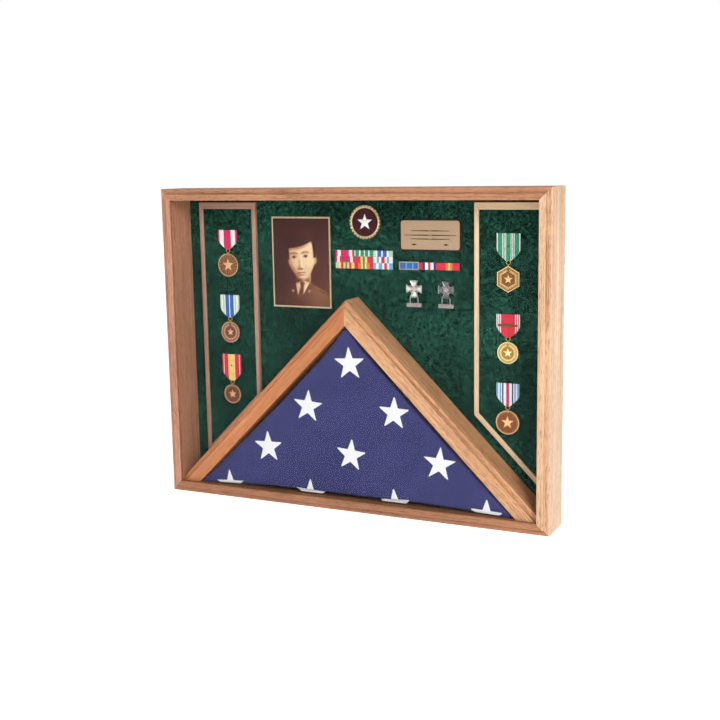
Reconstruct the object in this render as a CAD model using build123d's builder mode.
from build123d import *
import os
from math import cos, pi, sin, sqrt

# Folded flag and medal display case: a mitred hardwood box with a glass front, a triangular
# flag compartment built into its lower half, and a velvet covered back panel that carries the
# medals and lifts out to the rear once its turn buttons are swung aside.
# Millimetres. +Z is up, the glass faces -Y, and the origin is the centre of the bottom face.
# A "depth" below is always measured back from the front face of the case.

# Case
case_width = 660.0
case_height = 508.0
case_depth = 70.0
board = 18.5
outer_band = 8.5
band_recess = 5.0
edge_round = 1.2

# Glass
glass_thickness = 2.5
glass_play = 0.5
groove_front = 3.0
groove_depth = 5.0
glass_edge_gap = 0.8

# Removable back
panel_thickness = 9.5
panel_recess = 0.3
panel_edge_gap = 1.0
rabbet = 6.5
velvet_thickness = 1.0
velvet_edge_gap = 0.3
back_fit = 0.3

# Flag compartment
flag_apex = 296.5
leg_width = 28.0
leg_band = 8.0
leg_behind_glass = 1.0
flag_thickness = 39.0
flag_fit = 1.0
flag_round = 5.0

# Mitre keys
key_thickness = 3.0
key_length = 14.0
key_across = 11.0

# Raised medal boards
medal_board_width = 108.0
left_board_gap = 22.1
right_board_gap = 7.8
board_top_gap = 4.6
left_board_leg_gap = 5.5
right_board_leg_gap = 15.5
board_floor_gap = 3.0
board_core = 3.0
trim_side = 7.5
trim_top = 11.0
trim_height = 6.0
trim_chamfer = 1.0

# Medals
ribbon_width = 36.0
ribbon_tip = 5.0
ribbon_taper = 19.0
ribbon_thickness = 2.7
ribbon_loop = 2.0
ring_radius = 3.2
ring_wire = 0.5
ring_clearance = 0.08
eye_radius = 1.1
eye_wire = 0.45
pendant_thickness = 2.5
pendant_gap = 0.45
pendant_rim = 1.6
pendant_rim_height = 0.45

# Portrait plate. A "drop" is measured down from the inside of the top rail.
portrait_x = -100.2
portrait_drop = 27.8
portrait_width = 106.0
portrait_height = 146.0
portrait_border = 2.6
portrait_thickness = 1.6
print_thickness = 0.4

# Round emblem
emblem_x = 14.2
emblem_drop = 35.7
emblem_radius = 26.0
emblem_spikes = 28
emblem_spike_side = 4.2
emblem_spike_angle = 75.0
emblem_spike_sink = 0.4
emblem_field_radius = 22.0
emblem_field_recess = 1.0
emblem_thickness = 3.0
emblem_star_radius = 13.0
emblem_star_notch = 5.4
emblem_star_height = 0.8

# Ribbon bars
rack_x = 11.7
rack_drop = 94.0
row_gap = 10.9
row_drop = 101.8
bars_in_row = 3
bar_width = 33.0
bar_height = 9.7
bar_thickness = 1.6
bar_spacing = 0.15
holder_thickness = 1.0
holder_side_inset = 2.0
holder_end_inset = 1.5
citation_frame = 1.3
citation_proud = 0.4
citation_fit = 0.05

# Name plate
name_plate_shift = -4.55
name_plate_drop = 54.4
name_plate_width = 96.0
name_plate_height = 44.0
name_plate_corner = 4.0
name_plate_border = 2.6
name_plate_thickness = 1.0

# Skill badges
badge_shift = 0.9
badge_spacing = 53.0
badge_drop = 137.5
badge_size = 26.0
badge_thickness = 1.6
badge_arm_root = 2.6
badge_arm_flare = 9.36
badge_hub_radius = 4.68
badge_bar_width = 25.0
badge_bar_height = 6.0
badge_bar_corner = 1.2
badge_link_drop = 9.0
badge_link_width = 1.6
badge_link_reach = 6.5
badge_link_gap = 0.2
badge_link_thickness = 1.0

# Back hardware
button_length = 34.0
button_width = 9.0
button_thickness = 2.0
button_gap = 0.1
button_from_side = 165.0
pivot_radius = 1.8
pivot_clearance = 0.05
pivot_depth = 14.0
screw_head_radius = 3.4
screw_head_height = 1.8
screw_head_taper = 20.0
hanger_drop = 101.6
strap_width = 9.5
strap_length = 30.0
strap_corner = 4.65
strap_thickness = 1.2
hanger_wire = 1.2
hanger_wire_gap = 0.1
hanger_wire_clearance = 0.06
hanger_knuckle_wall = 0.9
hanger_knuckle_width = 5.4
hanger_width = 9.2
hanger_reach = 15.0
hanger_corner = 1.7
hanger_screw_radius = 1.5
hanger_screw_depth = 12.0
hanger_head_radius = 3.0
hanger_head_height = 1.4
hanger_head_taper = 25.0
bumper_radius = 4.8
bumper_height = 5.2
bumper_taper = 12.0
bumper_edge_gap = 0.4

# Everything below follows from the values above.
front = -case_depth / 2
half_width = case_width / 2
inner_half_width = half_width - board
inner_top = case_height - board
groove_back = groove_front + glass_thickness + glass_play
panel_front = case_depth - panel_recess - panel_thickness
velvet_front = panel_front - velvet_thickness
ledge = panel_front - back_fit
leg_front = groove_back + leg_behind_glass
leg_back = velvet_front - back_fit
outer_apex = flag_apex + leg_width * sqrt(2)
medal_face = velvet_front - board_core - velvet_thickness
edge_band = board - rabbet
edge_middle = edge_band / 2


os.makedirs("parts", exist_ok=True)


def behind(depth):
    """The plane parallel to the front face, that far behind it. Its x is X and its y is Z."""
    return Plane.XZ.offset(-(front + depth))


def save(piece, label):
    piece.part.label = label
    export_step(piece.part, f"parts/{label}.step")


def edge_frame(start, along, inward):
    """A profile plane: x runs inward from the outer face, y runs back from the front face."""
    return Plane(origin=start, x_dir=inward, z_dir=along)


def keep_beyond(point, direction):
    """Splits the current part at a plane through point and keeps the side it points to."""
    split(bisect_by=Plane(origin=point, z_dir=direction), keep=Keep.TOP)


# Splines glued across the mitres of the four corners and of the flag frame's apex.
corners = {
    (-1, 0): (-half_width, 0, 45),
    (1, 0): (half_width, 0, 135),
    (1, 1): (half_width, case_height, 45),
    (-1, 1): (-half_width, case_height, 135),
}
key_depth = case_depth / 2
with BuildPart() as corner_splines:
    for (side, level), (x, z, turn) in corners.items():
        middle = (x - side * board / 2, z - (2 * level - 1) * board / 2)
        with BuildSketch(behind(key_depth + key_thickness / 2)):
            with Locations(Location(middle, turn + 90)):
                Rectangle(key_length, key_across)
        extrude(amount=key_thickness)
    with BuildSketch(behind(key_depth + key_thickness / 2)):
        with Locations((0, (flag_apex + outer_apex) / 2)):
            Rectangle(key_length, key_across)
    extrude(amount=key_thickness)
save(corner_splines, "corner_splines")

# Turn button pivots stand on the back edges of the boards, with the direction that the button
# points when it is stored. A quarter turn about +Y brings each one over the panel.
buttons = {
    "top_left": (button_from_side - half_width, case_height - edge_middle, "X", 1),
    "top_right": (half_width - button_from_side, case_height - edge_middle, "X", 1),
    "bottom_left": (button_from_side - half_width, edge_middle, "X", -1),
    "bottom_right": (half_width - button_from_side, edge_middle, "X", -1),
    "left": (-half_width + edge_middle, case_height / 2, "Z", 1),
    "right": (half_width - edge_middle, case_height / 2, "Z", -1),
}
hanger_places = [
    (-half_width + edge_middle, case_height - hanger_drop),
    (half_width - edge_middle, case_height - hanger_drop),
]
strap_screw_drop = strap_length - strap_width / 2
with BuildPart() as turn_button_screws:
    for x, z, _, _ in buttons.values():
        with BuildSketch(behind(case_depth - pivot_depth)):
            with Locations((x, z)):
                Circle(pivot_radius)
        extrude(amount=-(pivot_depth + button_thickness + 2 * button_gap))
        with BuildSketch(behind(case_depth + button_thickness + 2 * button_gap)):
            with Locations((x, z)):
                Circle(screw_head_radius)
        extrude(amount=-screw_head_height, taper=screw_head_taper)
save(turn_button_screws, "turn_button_screws")

with BuildPart() as hanger_screws:
    for x, z in hanger_places:
        with BuildSketch(behind(case_depth - hanger_screw_depth)):
            with Locations((x, z - strap_screw_drop)):
                Circle(hanger_screw_radius)
        extrude(amount=-(hanger_screw_depth + strap_thickness))
        with BuildSketch(behind(case_depth + strap_thickness)):
            with Locations((x, z - strap_screw_drop)):
                Circle(hanger_head_radius)
        extrude(amount=-hanger_head_height, taper=hanger_head_taper)
save(hanger_screws, "hanger_screws")


def round_front_edges(section):
    """Rounds the proud front band and the outer corner of a stepped moulding's profile."""
    proud = section.vertices().group_by(Axis.Y)[0]
    outer = section.vertices().group_by(Axis.X)[0].sort_by(Axis.Y)[:1]
    fillet(proud + outer, edge_round)


def frame_board(start, along, inward, length):
    """One mitred board: stepped front moulding, glass groove and rabbet for the back panel."""
    start, along, inward = Vector(start), Vector(along), Vector(inward)
    with BuildPart() as piece:
        with BuildSketch(edge_frame(start, along, inward)) as section:
            with BuildLine():
                Polyline(
                    (0, band_recess),
                    (outer_band, band_recess),
                    (outer_band, 0),
                    (board, 0),
                    (board, groove_front),
                    (board - groove_depth, groove_front),
                    (board - groove_depth, groove_back),
                    (board, groove_back),
                    (board, ledge),
                    (board - rabbet, ledge),
                    (board - rabbet, case_depth),
                    (0, case_depth),
                    close=True,
                )
            make_face()
            round_front_edges(section)
        extrude(amount=length)
        keep_beyond(start, along - inward)
        keep_beyond(start + along * length, -along - inward)
        add(corner_splines.part, mode=Mode.SUBTRACT)
        add(turn_button_screws.part, mode=Mode.SUBTRACT)
        add(hanger_screws.part, mode=Mode.SUBTRACT)
    return piece


top_rail = frame_board((-half_width, front, case_height), (1, 0, 0), (0, 0, -1), case_width)
save(top_rail, "top_rail")
bottom_rail = frame_board((half_width, front, 0), (-1, 0, 0), (0, 0, 1), case_width)
save(bottom_rail, "bottom_rail")
left_side = frame_board((-half_width, front, 0), (0, 0, 1), (1, 0, 0), case_height)
save(left_side, "left_side")
right_side = frame_board((half_width, front, case_height), (0, 0, -1), (-1, 0, 0), case_height)
save(right_side, "right_side")

# Glass, loose in its groove.
glass_reach = groove_depth - glass_edge_gap
with BuildPart() as front_glass:
    with BuildSketch(behind(groove_back - glass_play / 2)):
        with Locations((0, case_height / 2)):
            Rectangle(
                2 * (inner_half_width + glass_reach),
                case_height - 2 * (board - glass_reach),
            )
    extrude(amount=glass_thickness)
save(front_glass, "front_glass")

# The two legs of the flag frame: the same stepped moulding, run down at 45 degrees.
down_right = Vector(1, 0, -1).normalized()
down_left = Vector(-1, 0, -1).normalized()
leg_start = Vector(0, front, outer_apex) - down_right * leg_width
with BuildPart() as flag_frame_right:
    with BuildSketch(edge_frame(leg_start, down_right, down_left)) as leg_section:
        with BuildLine():
            Polyline(
                (0, leg_front + band_recess),
                (leg_band, leg_front + band_recess),
                (leg_band, leg_front),
                (leg_width, leg_front),
                (leg_width, leg_back),
                (0, leg_back),
                close=True,
            )
        make_face()
        round_front_edges(leg_section)
    extrude(amount=2 * case_height)
    keep_beyond((0, 0, 0), (1, 0, 0))
    keep_beyond((inner_half_width, 0, 0), (-1, 0, 0))
    keep_beyond((0, 0, board), (0, 0, 1))
    add(corner_splines.part, mode=Mode.SUBTRACT)
save(flag_frame_right, "flag_frame_right")

with BuildPart() as flag_frame_left:
    add(mirror(flag_frame_right.part, about=Plane.YZ))
save(flag_frame_left, "flag_frame_left")

# The folded flag: a stuffed triangle of cloth that fills its compartment.
flag_back = leg_back - flag_fit
flag_floor = board + flag_fit
flag_top = flag_apex - flag_fit * (1 + sqrt(2))
flag_half_base = flag_top - flag_floor
with BuildPart() as folded_flag:
    with BuildSketch(behind(flag_back)):
        with BuildLine():
            Polyline(
                (-flag_half_base, flag_floor),
                (flag_half_base, flag_floor),
                (0, flag_top),
                close=True,
            )
        make_face()
        with Locations((0, case_height / 2)):
            Rectangle(2 * (inner_half_width - flag_fit), case_height, mode=Mode.INTERSECT)
    extrude(amount=flag_thickness)
    fillet(folded_flag.edges().group_by(Axis.Y)[0], flag_round)
save(folded_flag, "folded_flag")

# Back panel and the velvet stretched over its front.
with BuildPart() as back_panel:
    with BuildSketch(behind(case_depth - panel_recess)):
        with Locations((0, case_height / 2)):
            Rectangle(
                2 * (inner_half_width + rabbet - panel_edge_gap),
                case_height - 2 * (edge_band + panel_edge_gap),
            )
    extrude(amount=panel_thickness)
save(back_panel, "back_panel")

with BuildPart() as backing_velvet:
    with BuildSketch(behind(panel_front)):
        with Locations((0, case_height / 2)):
            Rectangle(
                2 * (inner_half_width - velvet_edge_gap),
                case_height - 2 * (board + velvet_edge_gap),
            )
    extrude(amount=velvet_thickness)
save(backing_velvet, "backing_velvet")

# Raised medal boards. Each is a tall panel whose foot is cut parallel to the flag frame, with
# a velvet face between four mitred trim strips. In a case so wide that a foot would run into the
# bottom rail, the board ends level above it.
board_top = inner_top - board_top_gap
left_foot_line = outer_apex + left_board_leg_gap * sqrt(2)
right_foot_line = outer_apex + right_board_leg_gap * sqrt(2)
left_board_left = -inner_half_width + left_board_gap
right_board_right = inner_half_width - right_board_gap
right_board_left = right_board_right - medal_board_width
board_floor = (0, 0, board + board_floor_gap)


def board_outline(left, foot_line, slope, inset_side, inset_top):
    """Corners of a medal board, clockwise from its top left, drawn in by the two insets.

    foot_line is where the line of the board's foot crosses the middle of the case.
    """
    right = left + medal_board_width - inset_side
    left = left + inset_side
    top = board_top - inset_top
    rise = foot_line + inset_side * sqrt(2)
    return [(left, top), (right, top), (right, rise + slope * right), (left, rise + slope * left)]


for name, left, foot_line, slope in (
    ("left", left_board_left, left_foot_line, 1),
    ("right", right_board_left, right_foot_line, -1),
):
    outline = board_outline(left, foot_line, slope, 0, 0)
    inside = board_outline(left, foot_line, slope, trim_side, trim_top)
    with BuildPart() as medal_board:
        with BuildSketch(behind(velvet_front)):
            with BuildLine():
                Polyline(*inside, close=True)
            make_face()
        extrude(amount=board_core)
        keep_beyond(board_floor, (0, 0, 1))
    save(medal_board, f"{name}_medal_board")
    with BuildPart() as board_velvet:
        with BuildSketch(behind(velvet_front - board_core)):
            with BuildLine():
                Polyline(*inside, close=True)
            make_face()
        extrude(amount=velvet_thickness)
        keep_beyond(board_floor, (0, 0, 1))
    save(board_velvet, f"{name}_board_velvet")
    strips = []
    for i in range(4):
        j = (i + 1) % 4
        with BuildPart() as strip:
            with BuildSketch(behind(velvet_front)):
                with BuildLine():
                    Polyline(outline[i], outline[j], inside[j], inside[i], close=True)
                make_face()
            extrude(amount=trim_height)
            face = strip.faces().sort_by(Axis.Y)[0]
            long_edges = face.edges().sort_by(SortBy.LENGTH)[-2:]
            chamfer(long_edges, trim_chamfer)
            keep_beyond(board_floor, (0, 0, 1))
        strips.append(strip.part)
    board_trim = Compound(children=strips, label=f"{name}_board_trim")
    export_step(board_trim, f"parts/{name}_board_trim.step")

# Medals hang down the middle line of each board: name, middle line, height of the ribbon's top,
# which is set above the board's foot, ribbon length down to its tip, pendant radius, and number
# of sides of the pendant, where 0 is round.
left_line = left_board_left + medal_board_width / 2
right_line = right_board_left + medal_board_width / 2
left_foot = left_foot_line + left_line
right_foot = right_foot_line - right_line
medals = [
    ("left_top", left_line, left_foot + 331.4, 33.5, 19.0, 0),
    ("left_middle", left_line, left_foot + 223.9, 39.5, 17.5, 0),
    ("left_bottom", left_line, left_foot + 123.9, 46.5, 16.0, 0),
    ("right_top", right_line, right_foot + 331.6, 42.5, 20.0, 6),
    ("right_middle", right_line, right_foot + 211.6, 36.5, 16.4, 0),
    ("right_bottom", right_line, right_foot + 107.1, 36.5, 18.4, 0),
]
ring_depth = medal_face - pendant_gap - pendant_thickness / 2


def ring_centre(top, length):
    """Height of a jump ring: its top wire runs through the fold at the ribbon's tip."""
    return top - length + ribbon_loop - ring_radius


with BuildPart() as medal_rings:
    for _, x, top, length, _, _ in medals:
        ring_place = (x, front + ring_depth, ring_centre(top, length))
        with Locations(Location(ring_place, (90, 0, 0))):
            Torus(ring_radius, ring_wire)
save(medal_rings, "medal_rings")

with BuildPart() as ring_passages:
    for _, x, top, length, _, _ in medals:
        ring_place = (x, front + ring_depth, ring_centre(top, length))
        with Locations(Location(ring_place, (90, 0, 0))):
            Torus(ring_radius, ring_wire + ring_clearance)

for name, x, top, length, radius, sides in medals:
    tip = top - length
    half = ribbon_width / 2
    with BuildPart() as ribbon:
        with BuildSketch(behind(medal_face)):
            with BuildLine():
                Polyline(
                    (x - half, top),
                    (x + half, top),
                    (x + half, tip + ribbon_taper),
                    (x + ribbon_tip / 2, tip),
                    (x - ribbon_tip / 2, tip),
                    (x - half, tip + ribbon_taper),
                    close=True,
                )
            make_face()
        extrude(amount=ribbon_thickness)
        add(ring_passages.part, mode=Mode.SUBTRACT)
    save(ribbon, f"medal_ribbon_{name}")

    eye_height = ring_centre(top, length) - ring_radius
    centre = eye_height - eye_radius - radius
    pendant_back = ring_depth + pendant_thickness / 2
    with BuildPart() as pendant:
        with BuildSketch(behind(pendant_back)):
            with Locations((x, centre)):
                if sides:
                    RegularPolygon(radius, sides, rotation=90)
                else:
                    Circle(radius)
        extrude(amount=pendant_thickness)
        with BuildSketch(behind(pendant_back - pendant_thickness)):
            with Locations((x, centre)):
                if sides:
                    RegularPolygon(radius, sides, rotation=90)
                    RegularPolygon(radius - pendant_rim, sides, rotation=90, mode=Mode.SUBTRACT)
                else:
                    Circle(radius)
                    Circle(radius - pendant_rim, mode=Mode.SUBTRACT)
        extrude(amount=pendant_rim_height)
        with Locations(Location((x, front + ring_depth, eye_height), (0, 90, 0))):
            Torus(eye_radius, eye_wire)
    save(pendant, f"medal_pendant_{name}")

# Portrait plate, a bordered metal plate with a printed picture.
portrait_place = (portrait_x, inner_top - portrait_drop - portrait_height / 2)
with BuildPart() as portrait_plate:
    with BuildSketch(behind(velvet_front)):
        with Locations(portrait_place):
            Rectangle(portrait_width, portrait_height)
    extrude(amount=portrait_thickness)
save(portrait_plate, "portrait_plate")

with BuildPart() as portrait_print:
    with BuildSketch(behind(velvet_front - portrait_thickness)):
        with Locations(portrait_place):
            Rectangle(portrait_width - 2 * portrait_border, portrait_height - 2 * portrait_border)
    extrude(amount=print_thickness)
save(portrait_print, "portrait_print")

# Round service emblem: a spiked gilt ring round an enamel field with a raised white star.
emblem_place = (emblem_x, inner_top - emblem_drop)
with BuildPart() as emblem_ring:
    with BuildSketch(behind(velvet_front)):
        with Locations(emblem_place):
            Circle(emblem_radius)
            with PolarLocations(emblem_radius - emblem_spike_sink, emblem_spikes):
                Triangle(
                    a=emblem_spike_side,
                    b=emblem_spike_side,
                    C=emblem_spike_angle,
                    rotation=-90,
                    align=(Align.CENTER, Align.CENTER),
                )
            Circle(emblem_field_radius, mode=Mode.SUBTRACT)
    extrude(amount=emblem_thickness)
save(emblem_ring, "emblem_ring")

with BuildPart() as emblem_field:
    with BuildSketch(behind(velvet_front)):
        with Locations(emblem_place):
            Circle(emblem_field_radius)
    extrude(amount=emblem_thickness - emblem_field_recess)
save(emblem_field, "emblem_field")

star_points = [
    (
        emblem_place[0] + r * cos(pi / 2 + i * pi / 5),
        emblem_place[1] + r * sin(pi / 2 + i * pi / 5),
    )
    for i, r in enumerate([emblem_star_radius, emblem_star_notch] * 5)
]
with BuildPart() as emblem_star:
    with BuildSketch(behind(velvet_front - emblem_thickness + emblem_field_recess)):
        with BuildLine():
            Polyline(*star_points, close=True)
        make_face()
    extrude(amount=emblem_star_height)
save(emblem_star, "emblem_star")

# Ribbon rack, three rows of three bars on one holder, and a single row of three beside it.
row_length = bars_in_row * bar_width
rack_middle = (rack_x, inner_top - rack_drop)
rack_right = rack_x + row_length / 2
row_middle = (rack_right + row_gap + row_length / 2, inner_top - row_drop)
with BuildPart() as rack_holder:
    with BuildSketch(behind(velvet_front)):
        with Locations(rack_middle):
            Rectangle(row_length - 2 * holder_side_inset, 3 * bar_height - 2 * holder_end_inset)
    extrude(amount=holder_thickness)
save(rack_holder, "rack_holder")

for row, name in enumerate(("bottom", "middle", "top"), -1):
    with BuildPart() as rack_ribbons:
        with BuildSketch(behind(velvet_front - holder_thickness)):
            with Locations((rack_middle[0], rack_middle[1] + row * bar_height)):
                with GridLocations(bar_width, bar_height, bars_in_row, 1):
                    Rectangle(bar_width - bar_spacing, bar_height - bar_spacing)
        extrude(amount=bar_thickness)
    save(rack_ribbons, f"rack_ribbons_{name}")

with BuildPart() as row_holder:
    with BuildSketch(behind(velvet_front)):
        with Locations(row_middle):
            Rectangle(row_length - 2 * holder_side_inset, bar_height)
    extrude(amount=holder_thickness)
save(row_holder, "row_holder")

citation_place = (row_middle[0] - bar_width, row_middle[1])
with BuildPart() as citation_rim:
    with BuildSketch(behind(velvet_front - holder_thickness)):
        with Locations(citation_place):
            Rectangle(bar_width - bar_spacing, bar_height + 2 * citation_frame)
            Rectangle(
                bar_width - bar_spacing - 2 * citation_frame,
                bar_height,
                mode=Mode.SUBTRACT,
            )
    extrude(amount=bar_thickness + citation_proud)
save(citation_rim, "citation_frame")

with BuildPart() as row_ribbons:
    with BuildSketch(behind(velvet_front - holder_thickness)):
        with Locations(citation_place):
            Rectangle(
                bar_width - bar_spacing - 2 * (citation_frame + citation_fit),
                bar_height - 2 * citation_fit,
            )
        with Locations(row_middle, (row_middle[0] + bar_width, row_middle[1])):
            Rectangle(bar_width - bar_spacing, bar_height + citation_frame)
    extrude(amount=bar_thickness)
save(row_ribbons, "row_ribbons")

# Name plate on its dark backing, between the ribbon rack and the right medal board.
name_place = (
    (rack_right + right_board_left) / 2 + name_plate_shift,
    inner_top - name_plate_drop,
)
with BuildPart() as name_plate_backing:
    with BuildSketch(behind(velvet_front)):
        with Locations(name_place):
            RectangleRounded(
                name_plate_width + 2 * name_plate_border,
                name_plate_height + 2 * name_plate_border,
                name_plate_corner + name_plate_border,
            )
    extrude(amount=2 * name_plate_thickness)
save(name_plate_backing, "name_plate_backing")

with BuildPart() as name_plate:
    with BuildSketch(behind(velvet_front - 2 * name_plate_thickness)):
        with Locations(name_place):
            RectangleRounded(name_plate_width, name_plate_height, name_plate_corner)
    extrude(amount=name_plate_thickness)
save(name_plate, "name_plate")

# Two skill badges: a four armed cross with a bar hung below it on two links.
badge_middle = row_middle[0] + badge_shift
badge_places = {
    "left": (badge_middle - badge_spacing / 2, inner_top - badge_drop),
    "right": (badge_middle + badge_spacing / 2, inner_top - badge_drop),
}
arm_tip = badge_size / 2
for name, (x, z) in badge_places.items():
    with BuildPart() as cross:
        with BuildSketch(behind(velvet_front)):
            with Locations((x, z)):
                Circle(badge_hub_radius)
                with PolarLocations(0, 4):
                    Polygon(
                        (0, -badge_arm_root),
                        (arm_tip, -badge_arm_flare),
                        (arm_tip, badge_arm_flare),
                        (0, badge_arm_root),
                        align=None,
                    )
        extrude(amount=badge_thickness)
    save(cross, f"badge_cross_{name}")

link_top = inner_top - badge_drop - arm_tip
with BuildPart() as badge_links:
    for x, _ in badge_places.values():
        with BuildSketch(behind(velvet_front - badge_link_gap)):
            with Locations((x, link_top - badge_link_drop / 2)):
                with GridLocations(2 * badge_link_reach, badge_link_drop, 2, 1):
                    Rectangle(badge_link_width, badge_link_drop)
        extrude(amount=badge_link_thickness)
save(badge_links, "badge_links")

with BuildPart() as badge_bars:
    for x, _ in badge_places.values():
        with BuildSketch(behind(velvet_front)):
            with Locations((x, link_top - badge_link_drop - badge_bar_height / 2)):
                RectangleRounded(badge_bar_width, badge_bar_height, badge_bar_corner)
        extrude(amount=badge_thickness)
save(badge_bars, "badge_bars")

# Turn buttons, stored along the board edges.
for name, (x, z, run, way) in buttons.items():
    reach = way * (button_length - button_width) / 2
    middle = (x + reach, z) if run == "X" else (x, z + reach)
    with BuildPart() as turn_button:
        with BuildSketch(behind(case_depth + button_gap)):
            with Locations(Location(middle, 0 if run == "X" else 90)):
                SlotOverall(button_length, button_width)
            with Locations((x, z)):
                Circle(pivot_radius + pivot_clearance, mode=Mode.SUBTRACT)
        extrude(amount=-button_thickness)
    save(turn_button, f"turn_button_{name}")

# Strap hangers: a strap rolled round the straight side of a D ring that hangs over it.
knuckle_bore = hanger_wire + hanger_wire_clearance
knuckle_radius = knuckle_bore + hanger_knuckle_wall
ring_back = case_depth + strap_thickness + hanger_wire + hanger_wire_gap
knuckle_side = (strap_width - hanger_knuckle_width) / 2
knuckle_cut = 3 * knuckle_radius
with BuildPart() as hanger_straps:
    for x, z in hanger_places:
        with BuildSketch(behind(case_depth)):
            with Locations((x, z - strap_length / 2)):
                RectangleRounded(strap_width, strap_length, strap_corner)
            with Locations((x, z - strap_width / 2)):
                Rectangle(strap_width, strap_width)
        extrude(amount=-strap_thickness)
        with Locations(Location((x, front + ring_back, z), (0, 90, 0))):
            Cylinder(knuckle_radius, hanger_knuckle_width)
        with Locations((x, front + ring_back, z)):
            with GridLocations(strap_width, knuckle_cut, 2, 1):
                Box(2 * knuckle_side, knuckle_cut, knuckle_cut, mode=Mode.SUBTRACT)
        with Locations(Location((x, front + ring_back, z), (0, 90, 0))):
            Cylinder(knuckle_bore, strap_width, mode=Mode.SUBTRACT)
    add(hanger_screws.part, mode=Mode.SUBTRACT)
save(hanger_straps, "hanger_straps")

for name, (x, z) in zip(("left", "right"), hanger_places):
    half = hanger_width / 2
    shoulder = hanger_reach - half
    with BuildPart() as hanger_ring:
        with BuildLine() as ring_path:
            bar = Line((x, front + ring_back, z), (x + half, front + ring_back, z))
            down = Line(bar @ 1, (x + half, front + ring_back, z - shoulder))
            bow = ThreePointArc(
                down @ 1,
                (x, front + ring_back, z - hanger_reach),
                (x - half, front + ring_back, z - shoulder),
            )
            up = Line(bow @ 1, (x - half, front + ring_back, z))
            Line(up @ 1, bar @ 0)
            top_ends = ring_path.vertices().group_by(Axis.Z)[-1]
            fillet(top_ends.filter_by(lambda end: abs(end.X - x) > half / 2), hanger_corner)
        with BuildSketch(Plane(origin=(x, front + ring_back, z), z_dir=(1, 0, 0))):
            Circle(hanger_wire)
        sweep(path=ring_path.wires()[0])
    save(hanger_ring, f"hanger_ring_{name}")

# Rubber wall bumpers on the corners of the frame's back edge.
bumper_inset = bumper_radius + bumper_edge_gap
with BuildPart() as wall_bumpers:
    for side, level in corners:
        x = side * (half_width - bumper_inset)
        z = bumper_inset if level == 0 else case_height - bumper_inset
        with BuildSketch(behind(case_depth)):
            with Locations((x, z)):
                Circle(bumper_radius)
        extrude(amount=-bumper_height, taper=bumper_taper)
save(wall_bumpers, "wall_bumpers")
